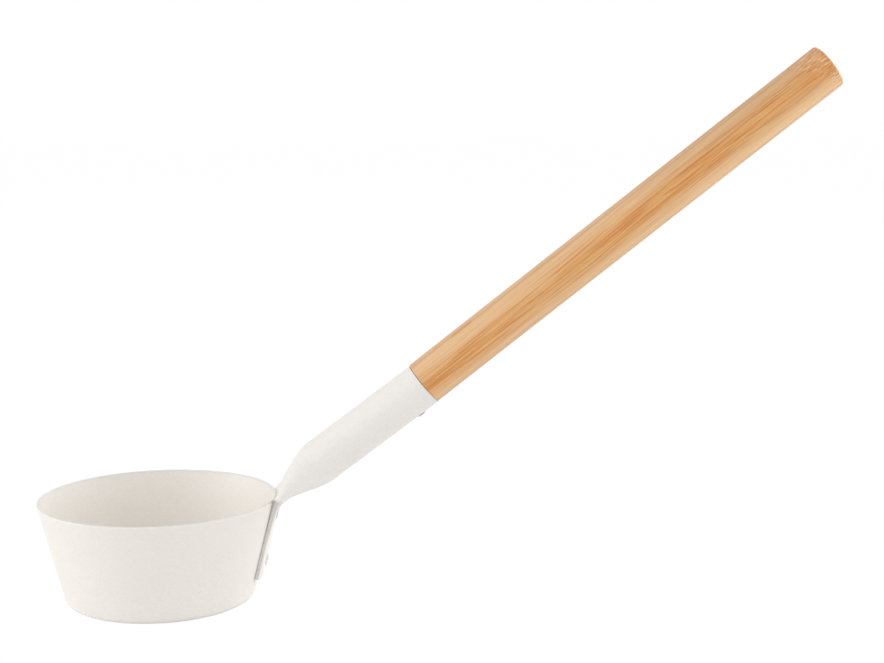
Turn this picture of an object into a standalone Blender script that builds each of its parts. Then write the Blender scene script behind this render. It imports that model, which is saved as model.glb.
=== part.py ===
"""Sauna ladle: a powder coated cup, a powder coated tube socket and a turned bamboo handle.

Six pieces, as they come apart on a bench: cup, handle_socket, handle_rod, rivet_upper, rivet_lower and
handle_screw. The socket takes the most skill. It is one round tube whose inner end is pressed flat, trimmed
to a narrower tab, bent down over the cup's rim and riveted to the cup's wall.

The origin is the centre of the cup's underside, with +Z up and +X towards the handle. Sizes are in metres.
"""

import math

import bmesh
import bpy
import numpy as np
from mathutils import Vector

# Cup: one pressed sheet, turned about Z
CUP_RIM_RADIUS = 0.0601
CUP_FOOT_RADIUS = 0.0471  # where the slanted wall would meet the underside
CUP_HEIGHT = 0.0521
CUP_SHEET = 0.0010
CUP_CORNER_RADIUS = 0.0043  # outside, between wall and underside

# Socket: a round tube that ends in a flat tab
TUBE_RADIUS = 0.0114
TUBE_WALL = 0.0009
TUBE_RISE = math.radians(36.45)  # the tube's angle above the horizontal
TUBE_LENGTH = 0.0909  # from the mouth to the corner where the tube's axis meets the tab
MOUTH_SLANT = math.radians(2.9)  # the mouth is cut a little longer underneath
PRESS_LENGTH = 0.0367  # from where the pressing starts to where the walls lie on each other
PRESS_PAST_CORNER = 0.0121  # the walls lie on each other from here, past the corner
PRESS_START_EASE = 1.6
PRESS_END_EASE = 2.7
CORNER_OVER_RIM = 0.0017  # the corner's height above the cup's rim
BEND_RADIUS = 0.0239
TAB_FOOT = 0.0110  # height of the tab's lower edge above the underside
TAB_HALF_WIDTH = 0.0134  # the folds are trimmed off the tab
TAB_EDGE_RADIUS = 0.00015  # where the trimmed sides meet the faces
TAB_CORNER_RADIUS = 0.0010
TRIM_PAST_CORNER = 0.0001  # the trimming starts here, past the corner
TRIM_SHOULDER = 0.0030  # along the tab, from the full width to the trimmed width
TAB_BOW_RADIUS = 0.0570  # the tab bows round the cup
TAB_BOW_LENGTH = 0.0376  # from the start of the bend to where the bow is full
PINCHED_GAP = 0.0002  # the bore ends where the walls are this close

# Handle: a turned rod with a shoulder and a tenon
ROD_RADIUS = 0.01174
ROD_LENGTH = 0.2547  # from the shoulder to the end
ROD_LEAN = math.radians(1.3)  # the loose tenon lets the rod sit this much steeper than the tube
ROD_END_ROUND = 0.0015
SHOULDER_CHAMFER = 0.0005
TENON_LENGTH = 0.0320
TENON_CHAMFER = 0.0010

# Rivets, alike
RIVET_SHANK_RADIUS = 0.0020
RIVET_HEAD_RADIUS = 0.00325
RIVET_HEAD_EDGE = 0.0003
RIVET_HEAD_DOME = 0.0005
RIVET_TAIL_RADIUS = 0.0030
RIVET_TAIL_EDGE = 0.0005
RIVET_TAIL_DOME = 0.0004
UPPER_RIVET_DROP = 0.0112  # along the tab, below the corner
LOWER_RIVET_RISE = 0.0080  # along the tab, above its lower edge

# Screw on the socket's underside
SCREW_FROM_MOUTH = 0.0100
SCREW_LENGTH = 0.0120  # under the head
SCREW_SHANK_RADIUS = 0.00175
SCREW_POINT_LENGTH = 0.0025
SCREW_HEAD_RADIUS = 0.0029
SCREW_HEAD_EDGE = 0.0005
SCREW_HEAD_DOME = 0.0006
RECESS_LENGTH = 0.0030
RECESS_WIDTH = 0.0008
RECESS_DEPTH = 0.0008

SEAT_GAP = 0.0003  # between pieces that touch
CUTTER_EXCESS = 0.0020  # how far a cutter reaches past what it cuts

# Fineness of the faceted solids
CUP_SIDES = 72
ROD_SIDES = 48
RIVET_SIDES = 32
QUARTER_SIDES = 12  # facets in a quarter of the tube's section
FOLD_CROWDING = 1.6  # above 1, the facets crowd at the folds of the pressed tube
PRESS_RINGS = 26
TRIM_RINGS = 6

# Directions in the plane of the handle
WALL_SLANT = math.atan2(CUP_RIM_RADIUS - CUP_FOOT_RADIUS, CUP_HEIGHT)
WALL_UP = Vector((math.sin(WALL_SLANT), 0.0, math.cos(WALL_SLANT)))
WALL_OUT = Vector((math.cos(WALL_SLANT), 0.0, -math.sin(WALL_SLANT)))
TUBE_OUT = Vector((math.cos(TUBE_RISE), 0.0, math.sin(TUBE_RISE)))
TUBE_UP = Vector((-math.sin(TUBE_RISE), 0.0, math.cos(TUBE_RISE)))
ROD_OUT = Vector((math.cos(TUBE_RISE + ROD_LEAN), 0.0, math.sin(TUBE_RISE + ROD_LEAN)))


def finish(name, colour, roughness, metallic=0.0):
    """A material with one colour, roughness and metallic value."""
    material = bpy.data.materials.new(name)
    material.use_nodes = True
    shader = material.node_tree.nodes["Principled BSDF"]
    shader.inputs["Base Color"].default_value = (*colour, 1.0)
    shader.inputs["Roughness"].default_value = roughness
    shader.inputs["Metallic"].default_value = metallic
    return material


def add_object(name, mesh, material=None):
    """Link a mesh as an object, shaded smooth except at its edges."""
    mesh.shade_smooth()
    mesh.set_sharp_from_angle(angle=math.radians(35))
    if material:
        mesh.materials.append(material)
    piece = bpy.data.objects.new(name, mesh)
    bpy.context.scene.collection.objects.link(piece)
    return piece


def place(piece, point, direction):
    """Put the piece's origin on a point and turn its local Z along a direction in the XZ plane."""
    piece.location = point
    piece.rotation_euler = (0.0, math.atan2(direction.x, direction.z), 0.0)
    return piece


def arc(centre, radius, start, end, steps):
    """Points of a circular arc, from the start angle to the end angle."""
    angles = np.linspace(start, end, steps + 1)
    return [(centre[0] + radius * math.cos(a), centre[1] + radius * math.sin(a)) for a in angles]


def dome(radius, edge, rise, base, way, steps=6):
    """Outline of a low dome on a short cylinder, from the rim to the axis. way is 1 up, -1 down."""
    sphere = (radius**2 + rise**2) / (2 * rise)
    half_angle = math.asin(radius / sphere)
    angles = np.linspace(half_angle, 0.0, steps + 1)
    crown = [(sphere * math.sin(a), base + way * (edge + rise - sphere * (1 - math.cos(a)))) for a in angles]
    return [(radius, base)] + crown


def turned(name, outline, sides, material=None):
    """Spin a (radius, height) outline, with both ends on the axis, into a closed solid about local Z."""
    shape = bmesh.new()
    points = [shape.verts.new((radius, 0.0, height)) for radius, height in outline]
    edges = [shape.edges.new(pair) for pair in zip(points, points[1:])]
    bmesh.ops.spin(shape, geom=points + edges, axis=(0, 0, 1), cent=(0, 0, 0), angle=math.tau, steps=sides)
    bmesh.ops.remove_doubles(shape, verts=shape.verts, dist=1e-6)
    bmesh.ops.recalc_face_normals(shape, faces=shape.faces)
    mesh = bpy.data.meshes.new(name)
    shape.to_mesh(mesh)
    shape.free()
    return add_object(name, mesh, material)


def as_cutter(piece):
    piece.hide_render = True
    piece.display_type = "WIRE"
    return piece


def round_cutter(name, radius, bottom, top):
    """A plain cylinder along local Z."""
    outline = [(0.0, bottom), (radius, bottom), (radius, top), (0.0, top)]
    return as_cutter(turned(name, outline, RIVET_SIDES))


def cut(piece, cutter):
    modifier = piece.modifiers.new(cutter.name, "BOOLEAN")
    modifier.operation = "DIFFERENCE"
    modifier.solver = "EXACT"
    modifier.object = cutter


def make_cup(coat):
    """A flat floor, a rounded corner, a slanted wall and a rounded lip, outside and then inside."""
    outward = np.array([math.cos(WALL_SLANT), -math.sin(WALL_SLANT)])
    corner_x = CUP_FOOT_RADIUS - CUP_CORNER_RADIUS * (1 - math.sin(WALL_SLANT)) / math.cos(WALL_SLANT)
    corner = (corner_x, CUP_CORNER_RADIUS)
    lip_radius = CUP_SHEET / 2
    lip_height = CUP_HEIGHT - lip_radius
    wall_height = lip_height - lip_radius * math.sin(WALL_SLANT)
    wall_top = np.array([CUP_FOOT_RADIUS + wall_height * math.tan(WALL_SLANT), wall_height])
    lip = wall_top - outward * lip_radius
    outline = [(0.0, 0.0)]
    outline += arc(corner, CUP_CORNER_RADIUS, -math.pi / 2, -WALL_SLANT, 5)
    outline += arc(lip, lip_radius, -WALL_SLANT, math.pi - WALL_SLANT, 6)
    outline += arc(corner, CUP_CORNER_RADIUS - CUP_SHEET, -WALL_SLANT, -math.pi / 2, 4)
    outline += [(0.0, CUP_SHEET)]
    return turned("cup", outline, CUP_SIDES, coat)


def wall_place(along):
    """Point on the cup's outer wall, in the handle's plane, this far up the slant from the underside."""
    return Vector((CUP_FOOT_RADIUS, 0.0, 0.0)) + WALL_UP * along


def corner_along():
    """How far up the slant the socket's corner lies: where the tube's axis meets the middle of the tab."""
    middle = WALL_OUT * (SEAT_GAP + TUBE_WALL)
    return (CUP_HEIGHT + CORNER_OVER_RIM - middle.z) / WALL_UP.z


def foot_along():
    """How far up the slant the tab's lower edge lies."""
    middle = WALL_OUT * (SEAT_GAP + TUBE_WALL)
    return (TAB_FOOT - middle.z) / WALL_UP.z


def corner_point():
    return wall_place(corner_along()) + WALL_OUT * (SEAT_GAP + TUBE_WALL)


def mouth_point():
    return corner_point() + TUBE_OUT * TUBE_LENGTH


def bend_turn():
    """Angle between the tube going down to the cup and the tab going down the wall."""
    return math.acos(max(-1.0, min(1.0, TUBE_OUT.dot(WALL_UP))))


def centre_line(along):
    """Points and normals of the socket's centre line at distances from the mouth: straight, arc, straight.

    The arc touches both straight runs, so it starts BEND_RADIUS * tan(turn / 2) before the corner. The
    normal points up from the tube, and from the tab towards the cup. The third array is how far the
    tab's bow has come, from 0 to 1.
    """
    turn = bend_turn()
    start = TUBE_LENGTH - BEND_RADIUS * math.tan(turn / 2)
    angle = np.clip((along - start) / BEND_RADIUS, 0.0, turn)[:, None]
    before = np.minimum(along, start)[:, None]
    after = np.maximum(along - start - BEND_RADIUS * turn, 0.0)[:, None]
    out, up = np.array(TUBE_OUT), np.array(TUBE_UP)
    normals = up * np.cos(angle) - out * np.sin(angle)
    pivot_shift = (normals - up) * BEND_RADIUS
    points = np.array(mouth_point()) - out * before + pivot_shift - np.array(WALL_UP) * after
    return points, normals, np.clip((along - start) / TAB_BOW_LENGTH, 0.0, 1.0)


def press_start():
    """Distance from the mouth to where the pressing starts."""
    return TUBE_LENGTH + PRESS_PAST_CORNER - PRESS_LENGTH


def pressed_section(along):
    """Half thickness and half width of the sheet's middle surface at distances from the mouth.

    The tube's wall keeps its length round the section: a round of radius r becomes two half rounds of
    radius b joined by flats, so its half width is b + pi / 2 * (r - b).
    """
    round_radius = TUBE_RADIUS - TUBE_WALL / 2
    share = np.clip((along - press_start()) / PRESS_LENGTH, 0.0, 1.0)
    pressed = 1 - (1 - share**PRESS_START_EASE) ** PRESS_END_EASE
    half_thickness = round_radius + (TUBE_WALL / 2 - round_radius) * pressed
    return half_thickness, half_thickness + math.pi / 2 * (round_radius - half_thickness)


def trimmed_share(along):
    """How far the folds are trimmed off at distances from the mouth, from 0 to 1, with a smooth start."""
    share = np.clip((along - TUBE_LENGTH - TRIM_PAST_CORNER) / TRIM_SHOULDER, 0.0, 1.0)
    return share**2 * (3 - 2 * share)


def section_rings(half_thickness, half_width, edge_radius):
    """Sideways and upward coordinates of each ring, as arrays of rings by points.

    One quarter runs from the middle of a side to the middle of the top: up the side, round an edge and
    along the top. A side is one round fold where the edge's radius is the half thickness. The other
    quarters mirror it. Each point keeps its share of the distance round the section, and the shares
    follow a power law, which crowds the points at the two sides.
    """
    edge = edge_radius[:, None]
    side_length = half_thickness[:, None] - edge
    top_length = half_width[:, None] - edge
    share = (np.arange(QUARTER_SIDES + 1) / QUARTER_SIDES) ** FOLD_CROWDING
    distance = share * (side_length + math.pi / 2 * edge + top_length)
    angle = np.clip((distance - side_length) / edge, 0.0, math.pi / 2)
    past_edge = np.maximum(distance - side_length - math.pi / 2 * edge, 0.0)
    side = top_length + edge * np.cos(angle) - past_edge
    rise = np.minimum(distance, side_length) + edge * np.sin(angle)
    back = slice(-2, 0, -1)
    sideways = np.hstack([side, -side[:, back], -side, side[:, back]])
    upward = np.hstack([rise, rise[:, back], -rise, -rise[:, back]])
    return sideways, upward


def socket_skin(along, inset, end):
    """Rings of one skin of the socket, inset from the sheet's middle by a signed distance.

    Trimming makes both skins narrower by one factor, and only the outer skin's sides flat.
    """
    half_thickness, half_width = pressed_section(along)
    points, normals, bow_share = centre_line(along)
    trimmed = trimmed_share(along)
    edge_radius = half_thickness - inset
    if inset < 0:
        edge_radius = edge_radius + (TAB_EDGE_RADIUS - edge_radius) * trimmed
    sideways, upward = section_rings(half_thickness - inset, half_width - inset, edge_radius)
    full_width = half_width + TUBE_WALL / 2
    sideways *= (1 + trimmed * (TAB_HALF_WIDTH / full_width - 1))[:, None]
    to_end = np.clip((TAB_CORNER_RADIUS - (end - along)) / TAB_CORNER_RADIUS, 0.0, 1.0)
    narrowing = TAB_CORNER_RADIUS * (1 - np.sqrt(1 - to_end**2))
    sideways *= (1 - narrowing / TAB_HALF_WIDTH)[:, None]
    curvature = bow_share**2 * (3 - 2 * bow_share) / TAB_BOW_RADIUS
    bow = curvature[:, None] * sideways**2 / 2
    slant = -upward * math.tan(MOUTH_SLANT) * (along == 0.0)[:, None]
    rings = points[:, None, :] + (upward + bow)[:, :, None] * normals[:, None, :]
    rings[:, :, 1] += sideways
    return rings + slant[:, :, None] * np.array(TUBE_OUT)


def ring_faces(first, rings, sides):
    """Quads between neighbouring rings whose points are numbered from first."""
    here = first + np.arange(rings - 1)[:, None] * sides + np.arange(sides)
    beside = first + np.arange(rings - 1)[:, None] * sides + (np.arange(sides) + 1) % sides
    return np.stack([here, beside, beside + sides, here + sides], axis=-1).reshape(-1, 4).tolist()


def make_socket(coat):
    """Outer skin from the mouth to the tab's end, inner skin from the mouth to where the bore is pinched."""
    turn = bend_turn()
    corner_cut = 2 * BEND_RADIUS * math.tan(turn / 2) - BEND_RADIUS * turn
    end = TUBE_LENGTH + corner_along() - foot_along() - corner_cut
    bend_end = TUBE_LENGTH - corner_cut + BEND_RADIUS * math.tan(turn / 2)
    press_end = press_start() + PRESS_LENGTH
    trim_start = TUBE_LENGTH + TRIM_PAST_CORNER
    trim_end = trim_start + TRIM_SHOULDER
    shoulder = np.linspace(trim_start, trim_end, TRIM_RINGS)
    shaped = np.linspace(press_start(), max(press_end, bend_end), PRESS_RINGS)
    apart = (shoulder[1] - shoulder[0]) / 2
    shaped = shaped[(shaped < trim_start - apart) | (shaped > trim_end + apart)]
    rounding = end - TAB_CORNER_RADIUS * (1 - np.sin(np.linspace(0.0, math.pi / 2 * 0.95, 5)))
    along = np.concatenate([[0.0], np.sort(np.concatenate([shaped, shoulder])), rounding, [end]])
    outer = socket_skin(along, -TUBE_WALL / 2, end)
    bore = pressed_section(along)[0] - TUBE_WALL / 2
    inner = socket_skin(along[bore > PINCHED_GAP / 2], TUBE_WALL / 2, end)
    sides = outer.shape[1]
    inner_first = outer.shape[0] * sides
    faces = ring_faces(0, len(outer), sides) + ring_faces(inner_first, len(inner), sides)
    faces += [[i, (i + 1) % sides, inner_first + (i + 1) % sides, inner_first + i] for i in range(sides)]
    faces += [list(range(inner_first - sides, inner_first))]
    bore_end = inner_first + (len(inner) - 1) * sides
    faces += [list(range(bore_end, bore_end + sides))]
    mesh = bpy.data.meshes.new("handle_socket")
    mesh.from_pydata(np.concatenate([outer.reshape(-1, 3), inner.reshape(-1, 3)]).tolist(), [], faces)
    shape = bmesh.new()
    shape.from_mesh(mesh)
    bmesh.ops.recalc_face_normals(shape, faces=shape.faces)
    shape.to_mesh(mesh)
    shape.free()
    return add_object("handle_socket", mesh, coat)


def make_rod(bamboo):
    """Tenon, shoulder, shaft and rounded end.

    The shoulder's lowest point rests on the slanted mouth. The rod's axis crosses the tube's axis in the
    middle of the tenon, which has room to lean in the bore.
    """
    bore_radius = TUBE_RADIUS - TUBE_WALL
    tenon_radius = bore_radius - SEAT_GAP - TENON_LENGTH / 2 * math.sin(ROD_LEAN)
    outline = [(0.0, -TENON_LENGTH), (tenon_radius - TENON_CHAMFER, -TENON_LENGTH)]
    outline += [(tenon_radius, TENON_CHAMFER - TENON_LENGTH), (tenon_radius, 0.0)]
    outline += [(ROD_RADIUS - SHOULDER_CHAMFER, 0.0), (ROD_RADIUS, SHOULDER_CHAMFER)]
    end_centre = (ROD_RADIUS - ROD_END_ROUND, ROD_LENGTH - ROD_END_ROUND)
    outline += arc(end_centre, ROD_END_ROUND, 0.0, math.pi / 2, 4)
    outline += [(0.0, ROD_LENGTH)]
    rod = turned("handle_rod", outline, ROD_SIDES, bamboo)
    wedge = abs(math.tan(MOUTH_SLANT) - math.tan(ROD_LEAN)) * TUBE_RADIUS
    middle = mouth_point() + TUBE_OUT * (SEAT_GAP + wedge - TENON_LENGTH / 2)
    return place(rod, middle + ROD_OUT * TENON_LENGTH / 2, ROD_OUT)


def make_rivet(name, along, coat):
    """Formed tail inside the cup, shank through both walls, domed head outside. Local Z points outwards."""
    head_seat = 2 * SEAT_GAP + 2 * TUBE_WALL
    tail_seat = -CUP_SHEET - SEAT_GAP
    outline = dome(RIVET_TAIL_RADIUS, RIVET_TAIL_EDGE, RIVET_TAIL_DOME, tail_seat, -1)[::-1]
    outline += [(RIVET_SHANK_RADIUS, tail_seat), (RIVET_SHANK_RADIUS, head_seat)]
    outline += dome(RIVET_HEAD_RADIUS, RIVET_HEAD_EDGE, RIVET_HEAD_DOME, head_seat, 1)
    return place(turned(name, outline, RIVET_SIDES, coat), wall_place(along), WALL_OUT)


def rivet_cutter(name, along):
    hole_radius = RIVET_SHANK_RADIUS + SEAT_GAP
    bottom = -CUP_SHEET - CUTTER_EXCESS
    top = SEAT_GAP + 2 * TUBE_WALL + CUTTER_EXCESS
    return place(round_cutter(name, hole_radius, bottom, top), wall_place(along), WALL_OUT)


def screw_seat():
    """Point on the socket's underside where the screw goes in."""
    return mouth_point() - TUBE_OUT * SCREW_FROM_MOUTH - TUBE_UP * TUBE_RADIUS


def make_screw(steel):
    """Pointed shank and a pan head with a cross recess. Local Z points out of the tube."""
    outline = [(0.0, SEAT_GAP - SCREW_LENGTH)]
    outline += [(SCREW_SHANK_RADIUS, SEAT_GAP - SCREW_LENGTH + SCREW_POINT_LENGTH)]
    outline += [(SCREW_SHANK_RADIUS, SEAT_GAP)]
    outline += dome(SCREW_HEAD_RADIUS, SCREW_HEAD_EDGE, SCREW_HEAD_DOME, SEAT_GAP, 1)
    screw = place(turned("handle_screw", outline, RIVET_SIDES, steel), screw_seat(), -TUBE_UP)
    head_top = SEAT_GAP + SCREW_HEAD_EDGE + SCREW_HEAD_DOME
    for number, size in enumerate(((RECESS_LENGTH, RECESS_WIDTH), (RECESS_WIDTH, RECESS_LENGTH))):
        cut(screw, recess_cutter(f"cut_recess_{number}", size, head_top))
    return screw


def recess_cutter(name, size, head_top):
    """A box that sinks RECESS_DEPTH into the screw's head."""
    shape = bmesh.new()
    bmesh.ops.create_cube(shape, size=1.0)
    depth = RECESS_DEPTH + CUTTER_EXCESS
    bmesh.ops.scale(shape, vec=(size[0], size[1], depth), verts=shape.verts)
    bmesh.ops.translate(shape, vec=(0.0, 0.0, head_top - RECESS_DEPTH + depth / 2), verts=shape.verts)
    mesh = bpy.data.meshes.new(name)
    shape.to_mesh(mesh)
    shape.free()
    return place(as_cutter(add_object(name, mesh)), screw_seat(), -TUBE_UP)


def screw_cutter():
    """Clearance hole in the tube's lower wall and pilot hole in the tenon, in one."""
    hole_radius = SCREW_SHANK_RADIUS + SEAT_GAP
    cutter = round_cutter("cut_screw_hole", hole_radius, -SCREW_LENGTH, CUTTER_EXCESS)
    return place(cutter, screw_seat(), -TUBE_UP)


def build():
    for old in list(bpy.data.objects):
        bpy.data.objects.remove(old, do_unlink=True)
    coat = finish("white_powder_coat", (0.84, 0.83, 0.80), 0.55)
    bamboo = finish("laminated_bamboo", (0.72, 0.52, 0.29), 0.45)
    steel = finish("plated_steel", (0.66, 0.66, 0.65), 0.35, 1.0)

    cup = make_cup(coat)
    socket = make_socket(coat)
    rod = make_rod(bamboo)
    pieces = [cup, socket, rod, make_screw(steel)]

    upper = corner_along() - UPPER_RIVET_DROP
    lower = foot_along() + LOWER_RIVET_RISE
    for name, along in (("upper", upper), ("lower", lower)):
        pieces.append(make_rivet(f"rivet_{name}", along, coat))
        hole = rivet_cutter(f"cut_rivet_{name}", along)
        cut(cup, hole)
        cut(socket, hole)

    screw_hole = screw_cutter()
    cut(socket, screw_hole)
    cut(rod, screw_hole)

    ladle = bpy.data.objects.new("sauna_ladle", None)
    bpy.context.scene.collection.objects.link(ladle)
    for piece in pieces:
        piece.parent = ladle


build()
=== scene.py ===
# %% [markdown]
# # A sauna ladle, dressed for the studio
# The real ladle is a white powder coated cup, a round tube that is pressed flat and riveted to it, and a
# bamboo handle that a small screw keeps in the tube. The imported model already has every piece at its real
# size, in coarse facets. This lesson loads it as a fixed frame and lays a fine surface over each piece.

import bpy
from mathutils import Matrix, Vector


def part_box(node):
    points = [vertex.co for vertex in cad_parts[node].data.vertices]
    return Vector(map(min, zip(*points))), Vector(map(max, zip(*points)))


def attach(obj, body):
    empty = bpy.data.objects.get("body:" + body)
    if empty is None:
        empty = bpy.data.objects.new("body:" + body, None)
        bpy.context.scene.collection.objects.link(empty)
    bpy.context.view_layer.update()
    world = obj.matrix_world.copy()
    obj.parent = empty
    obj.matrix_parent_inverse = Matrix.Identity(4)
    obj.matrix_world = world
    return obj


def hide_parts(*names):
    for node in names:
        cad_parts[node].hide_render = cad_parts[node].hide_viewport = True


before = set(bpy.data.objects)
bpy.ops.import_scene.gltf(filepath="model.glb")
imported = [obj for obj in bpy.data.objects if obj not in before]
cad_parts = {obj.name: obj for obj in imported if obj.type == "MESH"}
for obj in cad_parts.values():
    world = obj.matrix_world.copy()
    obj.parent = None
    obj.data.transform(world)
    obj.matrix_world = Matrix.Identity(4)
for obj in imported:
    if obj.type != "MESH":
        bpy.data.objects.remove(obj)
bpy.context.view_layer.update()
print("the frame's nodes:", sorted(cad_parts))

# %% [markdown]
# numpy works out the surfaces, bmesh welds them and mathutils turns the camera. The sizes below are the
# maker's drawing, in metres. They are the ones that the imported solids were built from.

# %% Tools and sizes
import math

import bmesh
import bpy
import numpy as np
from mathutils import Matrix, Vector

CUP_RIM_RADIUS = 0.0601
CUP_FOOT_RADIUS = 0.0471  # where the slanted wall would meet the underside
CUP_HEIGHT = 0.0521
CUP_CORNER_RADIUS = 0.0043

TUBE_RADIUS = 0.0114
TUBE_WALL = 0.0009
TUBE_RISE = math.radians(36.45)
TUBE_LENGTH = 0.0909  # from the mouth to the corner where the tube's axis meets the tab
MOUTH_SLANT = math.radians(2.9)
PRESS_LENGTH = 0.0367
PRESS_PAST_CORNER = 0.0121
PRESS_START_EASE = 1.6
PRESS_END_EASE = 2.7
CORNER_OVER_RIM = 0.0017
BEND_RADIUS = 0.0239
TAB_FOOT = 0.0110
TAB_HALF_WIDTH = 0.0134
TAB_CORNER_RADIUS = 0.0010
TRIM_PAST_CORNER = 0.0001
TRIM_SHOULDER = 0.0030
TAB_BOW_RADIUS = 0.0570
TAB_BOW_LENGTH = 0.0376

ROD_RADIUS = 0.01174
ROD_LENGTH = 0.2547
ROD_LEAN = math.radians(1.3)
ROD_END_ROUND = 0.0015
TENON_LENGTH = 0.0320
TENON_CHAMFER = 0.0010

RIVET_SHANK_RADIUS = 0.0020
RIVET_HEAD_RADIUS = 0.00325
RIVET_HEAD_HEIGHT = 0.0008
RIVET_TAIL_RADIUS = 0.0030
RIVET_TAIL_HEIGHT = 0.0009
UPPER_RIVET_DROP = 0.0112
LOWER_RIVET_RISE = 0.0080

SCREW_FROM_MOUTH = 0.0100
SCREW_LENGTH = 0.0120
SCREW_POINT_LENGTH = 0.0025
SCREW_HEAD_RADIUS = 0.0029
SCREW_HEAD_HEIGHT = 0.0011
RECESS_LENGTH = 0.0030
RECESS_WIDTH = 0.0008
RECESS_DEPTH = 0.0008

SEAT_GAP = 0.0003  # between the solids of pieces that touch
print("cup", round(CUP_RIM_RADIUS * 2000, 1), "mm wide, tube", round(TUBE_RADIUS * 2000, 1), "mm thick")

# %% [markdown]
# The ladle is the same on both sides of one upright plane, and everything is laid out in it. A direction
# there is a unit vector at an angle above the horizontal: along the wall and out of it, along the tube and
# up from it, and along the rod.


# %% Directions
def unit(angle):
    """Unit vector in the handle's plane: cosine of the angle along X, sine along Z."""
    return np.array([math.cos(angle), 0.0, math.sin(angle)])


WALL_SLANT = math.atan2(CUP_RIM_RADIUS - CUP_FOOT_RADIUS, CUP_HEIGHT)
WALL_UP = unit(math.pi / 2 - WALL_SLANT)
WALL_OUT = unit(-WALL_SLANT)
TUBE_OUT = unit(TUBE_RISE)
TUBE_UP = unit(TUBE_RISE + math.pi / 2)
ROD_OUT = unit(TUBE_RISE + ROD_LEAN)
print("the wall leans out by", round(math.degrees(WALL_SLANT), 1), "degrees")

# %% [markdown]
# Cup, rod, rivets and screw are turned, so each starts as a profile: a chain of arcs and straight lines in
# a plane. Turning carries the profile round an axis, as a lathe does, and every point of it becomes a ring.


# %% Profiles and turning
def arc(centre, radius, start, end, steps):
    """Points (r, z) = centre + radius * (cos a, sin a), for angles a from start to end."""
    angle = np.linspace(start, end, steps + 1)
    return np.asarray(centre) + radius * np.stack([np.cos(angle), np.sin(angle)], axis=1)


def run(start, end, steps):
    """Points on a straight line, crowded at both ends by a cosine so that shading stays flat between."""
    share = (1 - np.cos(np.linspace(0.0, math.pi, steps + 1))) / 2
    return np.asarray(start) + share[:, None] * (np.asarray(end) - np.asarray(start))


def turn(profile, sides):
    """Rings about local Z: the point (r, z) becomes (r cos a, r sin a, z) for a full circle of angles a."""
    angle = np.linspace(0.0, 2 * math.pi, sides, endpoint=False)
    radius, height = profile[:, 0, None], profile[:, 1, None]
    return np.stack([radius * np.cos(angle), radius * np.sin(angle), height + 0 * angle], axis=-1)


# %% [markdown]
# All pieces here are tubes in the widest sense: a chain of rings, each with as many points as the next.
# One function turns such a chain into a mesh. Rings that shrink to a point or a line close the ends, and
# welding joins their points. A mask goes along as an attribute: it says where the coat is thin, and where
# shade is painted.


# %% From rings to a mesh
def skin(name, rings, thin_coat_and_shade=None):
    """Quads between neighbouring rings, given as an array of rings by points by 3, welded and smooth."""
    count, sides = rings.shape[:2]
    here = np.arange(count - 1)[:, None] * sides + np.arange(sides)
    beside = np.arange(count - 1)[:, None] * sides + (np.arange(sides) + 1) % sides
    faces = np.stack([here, beside, beside + sides, here + sides], axis=-1).reshape(-1, 4)
    mesh = bpy.data.meshes.new(name)
    mesh.from_pydata(rings.reshape(-1, 3).tolist(), [], faces.tolist())
    mask = mesh.attributes.new("thin_coat_and_shade", "FLOAT", "POINT")
    values = np.zeros(rings.shape[:2]) if thin_coat_and_shade is None else np.broadcast_to(thin_coat_and_shade, rings.shape[:2])
    mask.data.foreach_set("value", values.astype(np.float32).ravel())
    shape = bmesh.new()
    shape.from_mesh(mesh)
    bmesh.ops.remove_doubles(shape, verts=shape.verts, dist=1e-7)
    bmesh.ops.recalc_face_normals(shape, faces=shape.faces)
    shape.to_mesh(mesh)
    shape.free()
    mesh.shade_smooth()
    piece = bpy.data.objects.new(name, mesh)
    bpy.context.scene.collection.objects.link(piece)
    return piece


# %% [markdown]
# A turned piece is drawn upright at the origin, so it has to be moved to its place in the ladle. Each fine
# piece then takes over from its coarse node, and the difference of their boxes shows how true it is.


# %% Into its place
def stand(rings, point, direction):
    """Move rings so that local Z points along a direction in the handle's plane and local Y stays Y."""
    across = np.array([direction[2], 0.0, -direction[0]])
    turned_x = rings[..., 0, None] * across
    turned_z = rings[..., 2, None] * direction
    placed = np.asarray(point) + turned_x + turned_z
    placed[..., 1] += rings[..., 1]
    return placed


def seat(piece, node):
    """Let the fine piece stand for its node, and print how far their boxes differ."""
    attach(piece, "root")
    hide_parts(node)
    low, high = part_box(node)
    points = np.empty(len(piece.data.vertices) * 3)
    piece.data.vertices.foreach_get("co", points)
    points = points.reshape(-1, 3)
    change = np.concatenate([points.min(0) - np.array(low), points.max(0) - np.array(high)]) * 1000
    print(piece.name, len(piece.data.polygons), "faces, box differs by", np.round(change, 2), "mm")
    return piece


# %% [markdown]
# The cup is pressed from one sheet: a flat floor, a rounded corner, a slanted wall and a rounded lip. A
# spinner or a press makes it in one go, so it is one turned surface here too. With its coat the lip looks
# thicker than the bare sheet of 1 mm, so the wall is drawn thicker, all of it towards the inside. The coat
# runs thin over the lip's top and inner side, and the mask says so.


# %% The cup
CUP_SIDES = 384
COATED_SHEET = 0.0014
LIP_FADE = 0.0003  # below the lip, until the coat is thick again
THIN_FROM = -0.85  # a place across the lip, which goes from -1 at its outer side to 1 at its inner side
THIN_FULL = -0.50

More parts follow.
